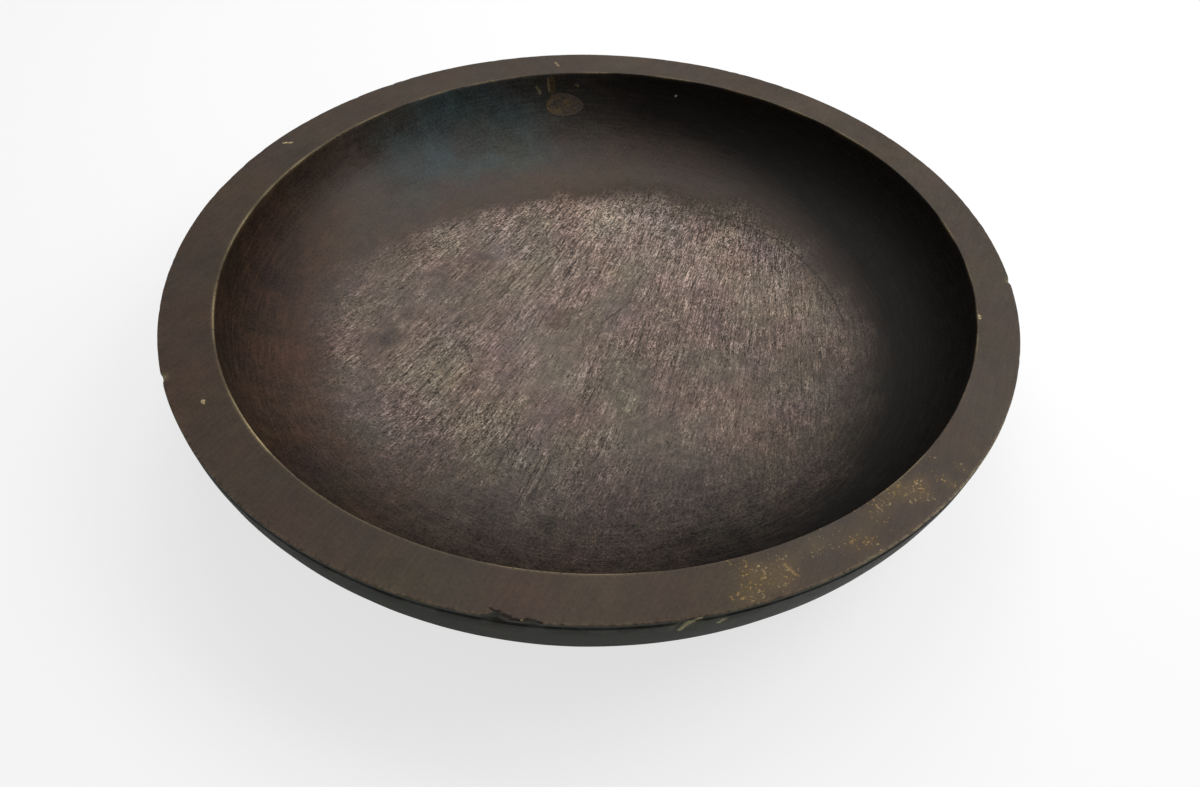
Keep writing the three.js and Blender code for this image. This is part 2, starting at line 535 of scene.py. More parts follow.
def noise(points, size, seed):
    """Smooth random values from -1 to 1, with features about as large as a size."""
    grid = np.random.default_rng(seed).uniform(-1, 1, (NOISE_GRID,) * 3)
    place = points / size
    cell = np.floor(place).astype(int)
    part = place - cell
    part = part * part * (3 - 2 * part)
    total = np.zeros(len(points))
    for corner in itertools.product((0, 1), repeat=3):
        share = np.prod(np.where(corner, part, 1 - part), axis=1)
        i, j, k = ((cell + corner) % NOISE_GRID).T
        total += share * grid[i, j, k]
    return total


def layers(points, table):
    """A sum of noises, from a table of strength, size and seed."""
    return sum(strength * noise(points, size, seed) for strength, size, seed in table)


def ramp(values, low, high):
    """0 at low, 1 at high, and smooth in between."""
    part = np.clip((values - low) / (high - low), 0, 1)
    return part * part * (3 - 2 * part)


def hump(values, middle, spread):
    """1 at the middle, and less and less away from it."""
    return np.exp(-(((values - middle) / spread) ** 2))


def turned(turn, middle):
    """Degrees from a middle, from -180 to 180."""
    return (turn - middle + 180) % 360 - 180


# The hand-cut surface. Noises are given by strength, size in metres and seed.
ROUGHNESS = ((0.55, 0.055, 1), (0.3, 0.021, 2), (0.15, 0.008, 3))
RIM_ROUGHNESS = 0.45  # shares of the full unevenness, on the rim and outside
OUTSIDE_ROUGHNESS = 0.6
CALM_ROUND_KNOT = (17, 34)  # millimetres from the knot: even up to the first, and uneven past the second
EDGE_BITES = (0.9, 0.5)  # the deepest small bites in the outer edge and in the inner one, in millimetres
OUTLINE_SWING = ((0.6, 0.55, 6), (0.4, 0.16, 7))
KNOT_STATION = 12  # rings from the mouth down to the knot, for the points that its cut adds

# Bites out of the rim's outer edge: degrees round, then millimetres: half length along the edge, how
# far in, half height, and how far the middle lies below the rim's top. Last, how bare its wood is.
CHIPS = (
    (-137, 6.5, 2.4, 2.6, 0.6, 0), (-133.5, 3.6, 1.7, 2, 0.6, 0),
    (-118.3, 6.4, 2.1, 3.4, 5.2, 0.2), (-115.6, 1.8, 0.9, 1.4, 3.4, 0),
    (170.2, 3.6, 2, 2.6, 0.8, 0.4), (-43, 3, 1.9, 2, 0.8, 0.4),
    (29.2, 2.6, 1.2, 1.2, 0.4, 0.1), (18.2, 3, 1.3, 1.2, 0.4, 0.1),
    (-98, 3.2, 0.9, 1.2, 0.5, 0.6), (-80, 2.6, 0.8, 1.2, 0.5, 0.6),
    (147, 2.8, 0.8, 1.2, 0.5, 0.3), (104, 3, 0.9, 1.2, 0.5, 0.2),
    (-152, 3, 0.8, 1.2, 0.5, 0.3), (-12, 2.6, 0.8, 1.2, 0.5, 0.3),
)

# The pale scraped floor: how far it reaches at degrees round, and over how far it fades, in millimetres.
WORN_TURNS = (-171, -131, -86, -41, 4, 49, 69, 91, 104, 123, 159)
WORN_REACH = (148, 130, 132, 148, 137, 125, 121, 124, 132, 142, 153)
WORN_FADE = (44, 62, 50, 20, 22, 13, 10, 10, 14, 24, 36)
WORN_WANDER = ((6, 0.026, 9), (4, 0.009, 10), (3, 0.004, 13))  # noises, in millimetres of reach

# Lighter and darker pools on the floor, partly its own worn tone and partly painted sheen and shade: x, y
# and size in millimetres, then how much lighter.
FLOOR_WEAR_AND_SHEEN_POOLS = (
    (62, 78, 34, 1.35), (-8, 108, 26, 0.8), (92, 8, 30, 0.9), (-4, 60, 26, 0.3), (-44, -6, 26, 0.45),
    (-150, 16, 24, 0.5), (30, 30, 44, 0.2), (-125, -30, 28, -0.4), (8, -48, 34, -0.35),
    (-58, -96, 44, -0.5), (62, -92, 44, -0.6), (72, 90, 20, 0.7), (20, 122, 14, 0.8),
    (94, 74, 12, -0.5), (90, 44, 14, 0.5), (140, -60, 16, 0.6), (102, -42, 14, 0.5),
    (120, -28, 12, -0.5), (48, -44, 18, -0.5), (44, 6, 14, -0.4), (-34, 94, 12, -0.4),
    (-132, 8, 18, -0.6), (-20, 30, 12, 0.35),
)

# Painted sheens on the wall, given the same way.
PAINTED_WALL_SHEENS = (
    (-64, 167, 14, 1.3), (-84, 156, 13, 1.6), (-104, 139, 14, 0.8), (-124, 126, 10, 0.5),
    (-108, 154, 9, 0.5), (-16, 171, 16, 0.3), (-3, 178, 9, 0.4),
)

# Dark blotches where the floor is smooth, given the same way, and a place that is only smoother.
BLOTCHES = (
    (-119, 60, 10, 1), (-106, 58, 9, 1), (-88, 74, 8, 1), (-24, 92, 12, 1), (-52, 84, 12, 1),
)
SMOOTHER = ((20, -95, 62, 0.35),)

# Groups of decayed specks on the rim: x, y and size in millimetres, then how dense they are.
SPECK_GROUPS = (
    (-76, -193, 9, 0.9), (-84, -200, 9, 0.75), (-67, -203, 8, 0.95), (-57, -197, 7, 0.65),
    (-46, -199, 5, 0.8), (-37, -205, 10, 0.55), (-30, -214, 8, 0.45), (-22, -207, 10, 0.6),
    (-9, -203, 8, 0.7), (3, -202, 7, 0.95), (11, -211, 8, 0.6), (16, -205, 8, 0.65), (25, -214, 4, 0.9),
    (37, -212, 4, 0.8), (30, -206, 8, 0.4), (50, -209, 4, 0.7),
)

# Painted shade on one side of the hollow, darkening the wall towards the rim: strength, the radii in
# millimetres that it starts at and is full at, then the degrees round of its middle and its spread. The
# painted front shade, painted back sheen and painted blue-grey reflection below are given the same way.
PAINTED_SHADE_SIDES = (
    (1.25, 140, 188, -28, 72), (0.6, 162, 192, 138, 20),
    (0.5, 155, 190, -172, 26), (0.45, 166, 192, 156, 20),
    (0.5, 174, 194, 42, 28), (0.4, 144, 178, -92, 34),
)
PAINTED_SHADE_AT_FRONT = (1.4, 80, 168, -108, 58)
PAINTED_SHEEN_AT_BACK = (0.95, 192, 156, 84, 42)
PAINTED_BLUE_REFLECTION = (1, 140, 168, 86, 22)
KNOT_UPRIGHT = 0.825  # upright share of the knot's height, as the wall leans


def read_values(items, name, width=1):
    """A property of every item, as an array with a row for each."""
    values = np.empty(len(items) * width)
    items.foreach_get(name, values)
    return values.reshape(-1, width) if width > 1 else values


class Surface:
    """A wrapped mesh's points, and where each lies on the smooth bowl. place is in metres, and the rest in
    millimetres, degrees and rings."""

    def __init__(self, mesh, ends):
        self.hollow_end, self.rim_end, self.line_end = ends
        self.place = read_values(mesh.vertices, "co", 3)
        self.normal = read_values(mesh.vertex_normals, "vector", 3)
        self.station = read_values(mesh.attributes["station"].data, "value")
        self.x, self.y, self.z = self.place.T / MM
        self.radius = np.hypot(self.x, self.y)
        self.turn = np.degrees(np.arctan2(self.y, self.x))
        self.drop = CAD_BOX[1].z / MM - self.z
        cut_points = (self.station == 0) & (self.radius > 3) & (self.z > 1)
        self.station[cut_points] = self.hollow_end - KNOT_STATION
        self.foot = self.z < 0.01
        self.outside = self.station > self.rim_end
        self.on_rim = (self.station > self.hollow_end + 1) & ~self.outside

    def around(self, middle, spread):
        """1 at some degrees round the bowl, and less and less to both sides."""
        return hump(turned(self.turn, middle), 0, spread)

    def shade(self, strength, start, full, middle, spread):
        """A strength that grows with the radius from start to full, on one side of the bowl."""
        return strength * ramp(self.radius, start, full) * self.around(middle, spread)

    def spots(self, table):
        """The sum of soft spots in a table of x, y, size and strength."""
        return sum(
            strength * np.exp(-((self.x - at_x) ** 2 + (self.y - at_y) ** 2) / size**2)
            for at_x, at_y, size, strength in table
        )


def hand_cut(surface, sizes, knot):
    """The surface's points as a carver's hand would have left them. Every move is into the wood."""
    place, station, outside = surface.place, surface.station, surface.outside
    middle = np.array(wall_point(sizes, knot.turn, knot.drop))
    from_knot = np.linalg.norm(place - middle, axis=1) / MM
    depth = sizes.unevenness * (1 + layers(place, ROUGHNESS)) / 2
    share = np.where(surface.on_rim, RIM_ROUGHNESS, np.where(outside, OUTSIDE_ROUGHNESS, 1))
    depth *= share * ramp(from_knot, *CALM_ROUND_KNOT)
    bites = np.maximum(noise(place, 0.004, 4) * noise(place, 0.017, 5), 0)
    near_outer = hump(station, surface.rim_end + 1, 1.4)
    near_inner = hump(station, surface.hollow_end + ARRIS_RINGS / 2, 1.6)
    depth += MM * bites * (EDGE_BITES[0] * near_outer + EDGE_BITES[1] * near_inner)
    depth[surface.foot] = 0
    moved = place - surface.normal * depth[:, None]

    turn = np.radians(surface.turn)
    circle = np.column_stack([np.cos(turn), np.sin(turn), np.zeros(len(turn))])
    inward = sizes.wobble * (1 + layers(circle, OUTLINE_SWING)) / 2 * np.sin(2 * turn) ** 2
    below = 1 - ramp(surface.drop, 10, 75)
    reach = np.where(outside, below, ramp(station, surface.hollow_end, surface.rim_end))
    moved[:, :2] -= circle[:, :2] * (inward * reach)[:, None]
    return moved


def chip_edges(surface, moved):
    """Pushes the points in each bite out of the rim to its far side. Gives how bare each one's wood is."""
    bare = np.zeros(len(moved))
    half = np.array([CAD_BOX[1].x, CAD_BOX[1].y])
    ragged = 1 + 0.22 * noise(surface.place, 0.003, 8)
    for at, long, bite, tall, below, pale in CHIPS:
        way = np.array([math.cos(math.radians(at)), math.sin(math.radians(at))])
        middle = half * way + way * 0.8 * bite * MM
        out_by = (moved[:, :2] - middle) @ way / MM
        along = (moved[:, :2] - middle) @ np.array([-way[1], way[0]]) / MM
        rise = moved[:, 2] / MM - (CAD_BOX[1].z / MM - below)
        spread = np.sqrt((along / long) ** 2 + (out_by / (1.8 * bite)) ** 2 + (rise / tall) ** 2) * ragged
        push = np.where((spread < 1) & ~surface.foot, 1 / np.maximum(spread, 0.38) - 1, 0)
        offset = np.column_stack([out_by[:, None] * way, np.minimum(rise, 0)]) * MM
        moved += offset * push[:, None]
        bare = np.maximum(bare, pale * ramp(1.25 - spread, 0, 0.35))
    return bare


def surface_marks(surface, bare, sizes, knot):
    """How each point is marked, by the name of the mark."""
    place, station, radius, turn = surface.place, surface.station, surface.radius, surface.turn
    hollow_end, rim_end, on_rim = surface.hollow_end, surface.rim_end, surface.on_rim
    around, shade, spots = surface.around, surface.shade, surface.spots
    in_hollow = (station <= hollow_end + 1).astype(float)

    worn_reach = np.interp(turn, WORN_TURNS, WORN_REACH, period=360) + layers(place, WORN_WANDER)
    worn_fade = np.interp(turn, WORN_TURNS, WORN_FADE, period=360)
    worn = ramp((worn_reach - radius) / worn_fade, -1, 1) * (station < hollow_end)
    scraped_reach = worn_reach + 10 * around(28, 34)
    scraped = ramp((scraped_reach - radius) / worn_fade, -1, 1) * (station < hollow_end)

    blotches = spots(BLOTCHES) * ramp(noise(place, 0.007, 14), -0.9, 0)
    # Painted sheen on the back of the wall, above the scraped floor.
    painted_back_sheen = shade(*PAINTED_SHEEN_AT_BACK) * (1 - worn)
    # The floor's pools are partly painted sheen and shade, the wall's sheens are painted, and the front of
    # the hollow gets painted shade.
    painted_light_and_tone = spots(FLOOR_WEAR_AND_SHEEN_POOLS) * worn + spots(PAINTED_WALL_SHEENS) + painted_back_sheen - shade(*PAINTED_SHADE_AT_FRONT) - blotches * 1.1

    patchy = noise(place, 0.02, 11)
    inner_wear = 0.85 * around(160, 42) * ramp(patchy, -1.2, 0.1) + 0.3 * ramp(patchy, -0.3, 0.6)
    outer_wear = 0.08 + 0.8 * around(-86, 16) + 0.2 * around(-150, 40)
    foot_half = np.array([CAD_BOX[1].x, CAD_BOX[1].y]) - sizes.foot_inset
    foot_share = np.hypot(*(place[:, :2] / foot_half).T)
    knot_along = np.radians(turned(turn, math.degrees(knot.turn))) * radius * MM / (knot.width / 2)
    knot_rise = (surface.drop * MM - knot.drop) / (knot.tall / 2 * KNOT_UPRIGHT)
    return {
        "rim": on_rim,
        "belly": station > rim_end + 1,
        "groove": (station > rim_end + 3.5) & (station < surface.line_end + 0.5),
        "worn": worn,
        "scraped": scraped,
        # Painted sheen and shade in the hollow, with the floor's own tone; the rim is lighter towards its
        # front.
        "painted_light_and_tone": in_hollow * painted_light_and_tone + 0.3 * on_rim * around(-112, 46),
        "smooth": np.minimum(blotches + spots(SMOOTHER), 1),
        "crossed": ramp(0.64 * surface.x + 0.77 * surface.y, 30, 105),
        "inner_edge": hump(station, hollow_end + 1.6, 1.0) * inner_wear,
        "outer_edge": hump(station, rim_end + 0.8, 1.1) * outer_wear,
        "bare": bare,
        "rubbed": 0.4 * (station > surface.line_end) * (foot_share > 0.99) * hump(surface.z, 0, 2.6),
        "knot_edge": np.hypot(knot_along, knot_rise),
        # A painted blue-grey reflection on the back of the wall.
        "ochre": on_rim * spots(SPECK_GROUPS),
        "painted_cool_reflection": in_hollow * shade(*PAINTED_BLUE_REFLECTION),
        "ruddy": (in_hollow * ramp(radius, 146, 172) + 0.6 * on_rim) * around(158, 44),
        # Painted shade on the walls towards the rim.
        "near_black_and_painted_shade": in_hollow * np.minimum(1, sum(shade(*row) for row in PAINTED_SHADE_SIDES)),
    }


def carve(mesh, sizes, knot, ends):
    """Moves the smooth mesh's points as a carver's hand and long use would have, and stores on each point
    how it is marked. Every move is into the wood, so the mesh stays in its box."""
    surface = Surface(mesh, ends)
    moved = hand_cut(surface, sizes, knot)
    bare = chip_edges(surface, moved)
    for name, values in surface_marks(surface, bare, sizes, knot).items():
        store = mesh.attributes.new(name, "FLOAT", "POINT")
        store.data.foreach_set("value", np.asarray(values, dtype=np.float32))
    mesh.attributes.remove(mesh.attributes["station"])
    mesh.vertices.foreach_set("co", moved.ravel())
    mesh.update()


SHARP_ANGLE = math.radians(38)


def finish_mesh(mesh, material):
    mesh.materials.clear()
    mesh.materials.append(material)
    mesh.shade_smooth()
    mesh.set_sharp_from_angle(angle=SHARP_ANGLE)
    mesh.validate()


# Shared surface effects

FAN_REACH = 0.614  # metres from the bowl's middle to the point that the fibres fan out from
FIBRE_SWAY = 0.004  # metres that the fibres wander
SCAR_SWAY = 0.0022  # metres that the scars' outlines wander


def laid_along(place, turn):
    """A place turned about z, so that its x runs along a direction."""
    return out(place.tree, "ShaderNodeVectorRotate", rotation_type="Z_AXIS", Vector=place, Angle=turn * -1)


def fibres(place, turn, long, wide):
    """Torn fibres that fan out from one direction, as values round 0. Sizes are in millimetres."""
    sway = clouds(place, 26, 1, port="Color")
    bent = sway.vector_maths("MULTIPLY_ADD", (FIBRE_SWAY, FIBRE_SWAY, 0), place)
    along, across, rise = laid_along(bent, turn).parts()
    spread = across * FAN_REACH / (along * -1 + FAN_REACH)
    thin = joined(along * IN_MM / long, spread * IN_MM / wide, rise * IN_MM / wide)
    return clouds(thin, 1, 3, Roughness=0.65) - 0.5


def wood_streaks(place, turn):
    """Fine long streaks along the grain, from 0 to 1."""
    thin = laid_along(place, turn).vector_maths("MULTIPLY", (60, 900, 900))
    return clouds(thin, 1, 3, Roughness=0.6, Distortion=0.4).between(0.3, 0.72)


def round_marks(place):
    """Fine lines that follow the bowl's curve, from 0 to 1."""
    x, y, z = place.parts()
    radius = (x * x + y * y).maths("SQRT")
    line = clouds(joined(x / radius * 9, y / radius * 9, (radius + z) * 620), 1, 2, Roughness=0.55)
    return line.between(0.42, 0.7)


def specks(place, scale, density):
    """Ragged specks, more of them and larger where the density is higher."""
    grains = clouds(place, scale, 3, Roughness=0.65)
    groups = clouds(place, scale * 0.25, 1)
    limit = density * -0.17 + 0.7 - (groups - 0.5) * 0.3
    return (grains - limit).between(0, 0.09) * density.between(0.02, 0.1)


def scar(place, start, way, half_width):
    """A mark along a line, from 0 to 1. All sizes are in millimetres."""
    offset = place.vector_maths("SUBTRACT", start)
    along = offset.vector_maths("DOT_PRODUCT", way, port="Value")
    whole = way.vector_maths("DOT_PRODUCT", way, port="Value")
    part = (along / whole).maths("MAXIMUM", 0).maths("MINIMUM", 1)
    away = offset.vector_maths("DISTANCE", way.scaled(part), port="Value")
    return (away / half_width).between(1, 0.45)


# Each effect's function, and the inputs of its node group.
EFFECTS = {
    "Fibres": (fibres, {"Vector": "Vector", "Turn": "Float", "Length": "Float", "Width": "Float"}),
    "Wood Streaks": (wood_streaks, {"Vector": "Vector", "Turn": "Float"}),
    "Round Marks": (round_marks, {"Vector": "Vector"}),
    "Specks": (specks, {"Vector": "Vector", "Scale": "Float", "Density": "Float"}),
    "Scar": (scar, {"Vector": "Vector", "Start": "Vector", "Way": "Vector", "Half Width": "Float"}),
}


def effect_group(name):
    """A shader node group round one of the effects."""
    build, inputs = EFFECTS[name]
    tree, asked, result = new_group(name, "ShaderNodeTree", inputs, {"Value": "Float"})
    feed(result.inputs["Value"], build(*asked.values()))
    return tree


# The curved cut on the right of the floor: x and y in millimetres, and its strength from there on.
GOUGE = (
    (124, 46, 0.7), (138, 20, 0.9), (144.5, -9, 0.9), (143, -31, 0.9), (138, -55, 0.9), (129, -74, 0.7),
    (117, -93, 0),
)
UNROLLED_RADIUS = 205  # millimetres: turns degrees round the walls into a length along them

# Single scars. "top" ones lie on the floor or the rim: from x, y to x, y. "inner" and "outer" ones lie on a
# wall: from degrees round and depth below the rim's top to the same. Then half width, colour and strength.
# All but the degrees are in millimetres.
SCARS = (
    ("top", (-19, 14), (-14, 18), 9, "ruddy", 0.4),
    ("top", (3, 0), (31, 5), 0.8, "dark_and_painted_shade", 0.6),
    ("top", (-115, -83), (-85, -63), 0.6, "dark_and_painted_shade", 0.85),
    ("top", (-113, -85), (-82, -64), 0.4, "pale", 0.25),
    ("top", (-111, -86), (-80, -66), 0.6, "dark_and_painted_shade", 0.75),
    ("top", (-92, -101), (-78, -93), 0.7, "dark_and_painted_shade", 0.6),
    *(("top", start[:2], end[:2], 0.75, "dark_and_painted_shade", start[2]) for start, end in zip(GOUGE, GOUGE[1:])),
    ("top", (-2.7, -17.4), (-2.4, -17.2), 2.6, "dark_and_painted_shade", 0.5),
    ("top", (-2.9, -17.1), (-2.6, -17), 1.3, "pale", 0.5),
    ("top", (-102, 190), (-97, 188), 0.9, "worn_edge", 0.8),
    ("top", (-215.5, 12), (-215.2, 14), 0.9, "worn_edge", 0.7),
    # The near-black marks in the rim's notches are painted shadow.
    ("top", (-166.4, -145.6), (-162.2, -153.6), 0.8, "near_black_and_painted_shade", 0.9),
    ("top", (-162.2, -153.6), (-158.6, -158.6), 1.2, "near_black_and_painted_shade", 0.9),
    ("top", (-168.2, -147), (-166.6, -149), 0.6, "bare", 0.5),
    ("top", (-157.8, -157.4), (-154.5, -162), 1, "near_black_and_painted_shade", 0.9),
    ("top", (-160, -156.2), (-159.6, -156.8), 0.5, "bare", 0.45),
    ("top", (127.2, -158), (129, -156.5), 0.9, "worn_edge", 0.9),
    ("top", (-62.3, -199), (-62, -205), 0.9, "ochre", 0.6),
    ("top", (99, 180), (100, 185), 1.4, "tan", 0.5),
    # The chip under the rim: bare wood, with a painted shadow on its upper side.
    ("outer", (-119.9, 9.5), (-118.2, 0.5), 1.5, "bare", 1),
    ("outer", (-120.4, 6.5), (-119.1, 0.5), 0.9, "near_black_and_painted_shade", 0.9),
    ("outer", (-115.9, 8.5), (-115.5, 6.5), 1.3, "bare", 0.9),
    ("inner", (63.1, 4), (62.9, 13), 3.4, "knot", 0.6),
    ("inner", (63.8, 3), (63.7, 12), 1, "tan", 0.3),
    ("inner", (63, 6), (62.9, 12), 0.7, "near_black_and_painted_shade", 0.5),
    ("inner", (66.2, 9), (65.6, 13), 1.3, "bare", 0.4),
    ("inner", (58, 9), (57.3, 10), 1, "bare", 0.3),
    ("inner", (36.5, 12), (36.6, 13), 0.8, "pale", 0.9),
)


def scarred(base, place, belly, look):
    """The base colour with the single scars laid over it."""
    sway = clouds(place, 420, 2, port="Color")
    x, y, z = sway.vector_maths("MULTIPLY_ADD", (SCAR_SWAY,) * 3, place).parts()
    x, y, z = (axis - SCAR_SWAY / 2 for axis in (x, y, z))
    flat = joined(x * IN_MM, y * IN_MM, 0)
    unrolled = joined(y.maths("ARCTAN2", x) * UNROLLED_RADIUS, z * -IN_MM + CAD_BOX[1].z * IN_MM, 0)
    group = effect_group("Scar")
    whole = clouds(place, 900, 2).between(0.34, 0.5) * 0.75 + 0.25
    inside = belly.flipped()
    sides = {"top": (flat, inside), "inner": (unrolled, inside), "outer": (unrolled, belly)}
    for side, start, end, half_width, name, strength in SCARS:
        where, shown = sides[side]
        if side != "top":
            start, end = ((math.radians(turn) * UNROLLED_RADIUS, drop) for turn, drop in (start, end))
        way = (end[0] - start[0], end[1] - start[1], 0)
        mark = out(
            place.tree, "ShaderNodeGroup", node_tree=group, Vector=where, Start=(*start, 0), Way=way,
            Half_Width=half_width,
        )
        base = paint(mark * shown * whole * strength, base, getattr(look, name))
    return base


def paint(factor, under, over):
    """The colour under, covered by the colour over as far as the factor says."""
    return out(factor.tree, "ShaderNodeMix", data_type="RGBA", Factor=factor, A=under, B=over)


def tinted(base, drift, amount):
    """A colour whose hue drifts by an amount with a noise's own colours."""
    hue = drift.vector_maths("MULTIPLY_ADD", (amount,) * 3, (1 - amount / 2,) * 3)
    return base.vector_maths("MULTIPLY", hue)


def new_material(name):
    """A material. Gives it with its tree and its shader."""
    material = bpy.data.materials.new(name)
    material.use_nodes = True
    tree = material.node_tree
    return material, tree, tree.nodes["Principled BSDF"]


def mark_on(tree, name):
    """A mark that carve stored."""
    return out(tree, "ShaderNodeAttribute", port="Fac", attribute_name=name)


def bumped(height_mm):
    """A normal from a height in millimetres."""
    return out(height_mm.tree, "ShaderNodeBump", Strength=1, Distance=MM, Height=height_mm)


GRAIN_TURN = math.radians(25)
CROSS_TURN = math.radians(5)
# Torn fibres: radians from the grain, then length and width in millimetres, and strength.
TEARS = ((0, 2.6, 0.65, 4.8), (0.1, 13.0, 1.1, 3.2), (0.2, 30.0, 2.4, 1.9))
CROSS_TEAR = (1.7, 1.0, 4)  # length, width and strength of the ones that lie across them
HUE_DRIFT = 0.27
SPECK_SCALE = 720.0
WOOD_SPECULAR = 0.16  # old dry wood shines less than a varnished one


def bowl_material(look):
    material, tree, shader = new_material("dark_wood")
    place = out(tree, "ShaderNodeTexCoord", port="Object")
    groups = {name: effect_group(name) for name in EFFECTS if name != "Scar"}

    def mark(name):
        return mark_on(tree, name)

    def mottle(size, detail=2, port=0):
        """Noise with features of a size in millimetres."""
        return clouds(place, IN_MM / size, detail, port=port)

    def effect(name, **inputs):
        return out(tree, "ShaderNodeGroup", node_tree=groups[name], Vector=place, **inputs)

    rim, belly, worn = mark("rim"), mark("belly"), mark("worn")
    near_black_and_painted_shade, scraped, crossed = mark("near_black_and_painted_shade"), mark("scraped"), mark("crossed")
    walls = rim.flipped() * belly.flipped() * worn.flipped()
    cloudy, blotchy, gritty, fine = mottle(46), mottle(9, 3), mottle(1.6, 3), mottle(0.8)
    streak = effect("Wood Streaks", Turn=GRAIN_TURN)
    line = effect("Round Marks")

    # The torn surface of the floor, as values round 0
    torn = (fine - 0.5) * 2.8
    for turn, long, wide, strength in TEARS:
        torn = torn + effect("Fibres", Turn=GRAIN_TURN + turn, Length=long, Width=wide) * strength
    long, wide, strength = CROSS_TEAR
    torn = torn + effect("Fibres", Turn=CROSS_TURN, Length=long, Width=wide) * crossed * strength
    torn = torn * (crossed * 0.6 + (cloudy - 0.5) * 1.6 + (blotchy - 0.5) * 1.4 + 0.74)
    torn = torn * (mark("smooth") * -0.75 + 1)

    # The colour of each region
    # Painted shade in the pits and painted highlights on the raised fibres, partly the floor's own darker
    # and paler wood.
    floor = paint(torn.between(0, -0.9) * 0.9, look.floor, look.dark_and_painted_shade)
    floor = paint(torn.between(0.1, 1.2) * 0.75, floor, look.pale)
    base = paint(rim, look.wall, look.rim)
    base = paint(belly, base, look.belly)
    # Painted shade: near-black on the walls towards the rim.
    base = paint(near_black_and_painted_shade * 0.93, base, look.near_black_and_painted_shade)
    base = paint(worn, base, floor)
    base = paint(mark("ruddy") * (cloudy.between(0.3, 0.7) * 0.5 + 0.35), base, look.ruddy)
    # Painted blue-grey reflection on the back of the wall.
    base = paint(mark("painted_cool_reflection") * (cloudy.between(0.3, 0.7) * 0.6 + 0.3), base, look.painted_cool_reflection)

    # Lighter and darker patches, grit and lines, with the painted sheen and shade stored on the points, as a
    # factor round 1
    tone = (blotchy - 0.5) * (worn * 0.5 + walls * 0.4 + 0.6) + (cloudy - 0.5) * 0.5 + 1
    tone = tone + (gritty - 0.5) * (walls * 0.6 + 0.7) + (fine - 0.5) * walls * 0.9
    tone = tone + (streak - 0.5) * 0.16 + (line - 0.4) * rim.flipped() * (near_black_and_painted_shade * 0.4 + 0.14)
    tone = tone + torn * scraped * 0.3 + mark("painted_light_and_tone") * 0.34
    base = tinted(base.scaled(tone.maths("MAXIMUM", 0.05)), mottle(34, port="Color"), HUE_DRIFT)

    # Worn edges, painted shadow in the incised line, decay and damage
    ochre = mark("ochre")
    speck = effect("Specks", Scale=SPECK_SCALE, Density=ochre)
    inner = mark("inner_edge") * (gritty.between(0.25, 0.5) * 0.9 + blotchy * 0.9)
    outer = mark("outer_edge") * (gritty.between(0.35, 0.6) * 0.8 + blotchy * 0.4)
    for factor, colour_over in (
        (inner.maths("MINIMUM", 1), look.worn_edge),
        (outer.maths("MINIMUM", 1), look.tan),
        (mark("rubbed") * (gritty.between(0.3, 0.6) * 0.7 + 0.3), look.tan),
        # Painted shadow in the incised line under the rim.
        (mark("groove") * (blotchy.between(0.4, 0.6) * 0.6 + 0.1), look.near_black_and_painted_shade),
        (ochre.between(0.3, 1.6) * blotchy * 0.5, look.ochre),
        (speck * 0.8, paint(blotchy.between(0.45, 0.6), look.ochre, look.tan)),
        (mark("bare") * (gritty.between(0.25, 0.6) * 0.6 + 0.4), look.bare),
    ):
        base = paint(factor, base, colour_over)
    feed(shader.inputs["Base Color"], scarred(base, place, belly, look))
    shader.inputs["Specular IOR Level"].default_value = WOOD_SPECULAR

    dull = (blotchy - 0.5) * 0.2 + (gritty - 0.5) * 0.2 + 0.46 + rim * 0.14 + belly * 0.08 + near_black_and_painted_shade * 0.16
    feed(shader.inputs["Roughness"], dull)
    height = torn * (scraped * 0.13 + 0.01) + gritty * 0.1 + blotchy * 0.14
    height = height + streak * 0.025 + line * 0.02 - speck * 0.15
    feed(shader.inputs["Normal"], bumped(height))
    return material


def knot_material(look):
    material, tree, shader = new_material("knot_plug")
    place = out(tree, "ShaderNodeTexCoord", port="Object")
    broad = clouds(place, 160, 3)
    fine = clouds(place, 900, 3, Roughness=0.7)
    crack = (clouds(place, 210, 2) - 0.5).maths("ABSOLUTE")
    edge = mark_on(tree, "knot_edge") + (broad - 0.5) * 0.9
    base = paint(broad.between(0.35, 0.62), look.dark_and_painted_shade, look.knot)
    base = paint(fine.between(0.5, 0.8) * 0.35, base, look.ochre)
    base = paint(crack.between(0.016, 0) * 0.8, base, look.near_black_and_painted_shade)
    base = paint(edge.between(0.62, 1) * 0.8, base, look.wall)
    feed(shader.inputs["Base Color"], base)
    feed(shader.inputs["Roughness"], fine * 0.3 + 0.6)
    feed(shader.inputs["Normal"], bumped(fine * 0.4 + broad * 0.6 + crack.between(0, 0.03) * 0.4))
    return material


# Stage

# Lamps: degrees round, degrees up, metres away, metres across, watts.
LAMPS = (
    (-22, 48, 1.25, 0.8, 8.0),
    (56, 58, 1.3, 0.9, 7.0),
)


def add_lamp(name, turn, rise, away, across, power):
    data = bpy.data.lights.new(name, "AREA")
    data.shape, data.size, data.energy = "DISK", across, power
    lamp = new_piece(name, data)
    turn, rise = math.radians(turn), math.radians(rise)
    way = Vector((math.cos(turn) * math.cos(rise), math.sin(turn) * math.cos(rise), math.sin(rise)))
    lamp.location = way * away
    lamp.rotation_euler = way.to_track_quat("Z", "Y").to_euler()


TABLE_REACH = 6  # metres from its middle to its sides
TABLE_CLEARANCE = 0.1 * MM  # between the table and the flat foot
TABLE_GLOW = 0.7  # how far the table's shadows are lifted towards white for the camera


